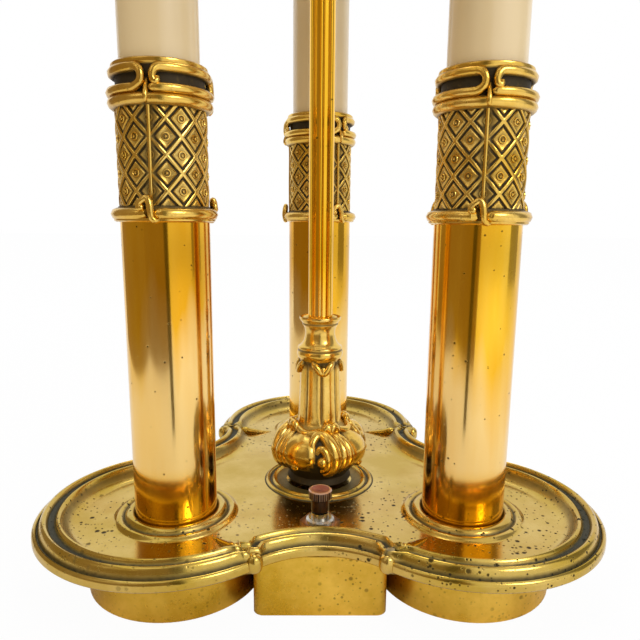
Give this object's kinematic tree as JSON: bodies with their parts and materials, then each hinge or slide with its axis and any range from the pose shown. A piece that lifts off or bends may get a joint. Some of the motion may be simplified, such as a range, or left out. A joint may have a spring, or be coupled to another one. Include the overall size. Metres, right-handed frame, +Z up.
{
  "type": "table lamp",
  "caption": "Table lamp on a lobed tray base: candle columns round a rod that carries a sliding, turning cone shade clamped by a winged key.",
  "frame": {"origin": "on the floor, under the axis of the centre rod", "axes": "+Z up along the rod, -Y towards the switch (the lamp's front), +X to the right when seen from the front"},
  "size_m": [0.358, 0.358, 0.674],
  "materials": {
    "aged_brass": "aged, lacquered, pitted",
    "polished_brass": "polished, worn",
    "dark_brass": "darkened",
    "copper_plate": "plated, worn",
    "nickel_plate": "plated, worn",
    "steel_plate": "satin",
    "screw_steel": "zinc plated",
    "cap_metal": "satin",
    "ivory_plastic": "gloss",
    "black_plastic": "moulded",
    "lead_plastic": "gloss",
    "bulb_glass": "clear",
    "felt": "felt",
    "shade_paint": "semi-gloss"
  },
  "bodies": {
    "base": {"base_tray": "aged_brass", "base_skirt": "aged_brass", "bottom_plate": "steel_plate", "felt_pad": "felt", "bottom_screws": "screw_steel", "cord_bushing": "black_plastic", "column_tube_left": "polished_brass", "collar_left": "aged_brass", "candle_sleeve_left": "ivory_plastic", "socket_body_left": "black_plastic", "socket_shell_left": "polished_brass", "bulb_cap_left": "cap_metal", "bulb_glass_left": "bulb_glass", "column_pipe_left": "screw_steel", "column_fasteners_left": "screw_steel", "lead_left": "lead_plastic", "column_tube_right": "polished_brass", "collar_right": "aged_brass", "candle_sleeve_right": "ivory_plastic", "socket_body_right": "black_plastic", "socket_shell_right": "polished_brass", "bulb_cap_right": "cap_metal", "bulb_glass_right": "bulb_glass", "column_pipe_right": "screw_steel", "column_fasteners_right": "screw_steel", "lead_right": "lead_plastic", "column_tube_back": "polished_brass", "collar_back": "aged_brass", "candle_sleeve_back": "ivory_plastic", "socket_body_back": "black_plastic", "socket_shell_back": "polished_brass", "bulb_cap_back": "cap_metal", "bulb_glass_back": "bulb_glass", "column_pipe_back": "screw_steel", "column_fasteners_back": "screw_steel", "lead_back": "lead_plastic", "stem_casting": "aged_brass", "stem_cup": "aged_brass", "stem_pipe": "screw_steel", "stem_nut": "screw_steel", "reeded_rod": "polished_brass", "finial": "aged_brass", "switch_nut": "copper_plate", "switch_washer": "nickel_plate", "switch_bushing": "nickel_plate", "switch_body": "black_plastic"},
    "knob": {"switch_shaft": "screw_steel", "switch_knob": "dark_brass"},
    "hub": {"shade_hub": "polished_brass", "hub_ring_nut": "polished_brass"},
    "shade": {"shade_shell": "shade_paint", "shade_spider": "polished_brass", "spider_plate": "polished_brass"},
    "key": {"clamp_key": "aged_brass"}
  },
  "joints": [
    {"name": "switch_turn", "type": "hinge", "parent": "base", "child": "knob", "pos_m": [0, -0.052, 0.04], "axis": [0, 0, 1], "continuous": true},
    {"name": "shade_slide", "type": "slide", "parent": "base", "child": "hub", "axis": [0, 0, 1], "range_m": [-0.03, 0.09]},
    {"name": "shade_swivel", "type": "hinge", "parent": "hub", "child": "shade", "pos_m": [0, 0, 0.502], "axis": [0, 0, 1], "continuous": true},
    {"name": "key_turn", "type": "hinge", "parent": "hub", "child": "key", "pos_m": [0, -0.02, 0.488], "axis": [0, -1, 0], "continuous": true}
  ]
}
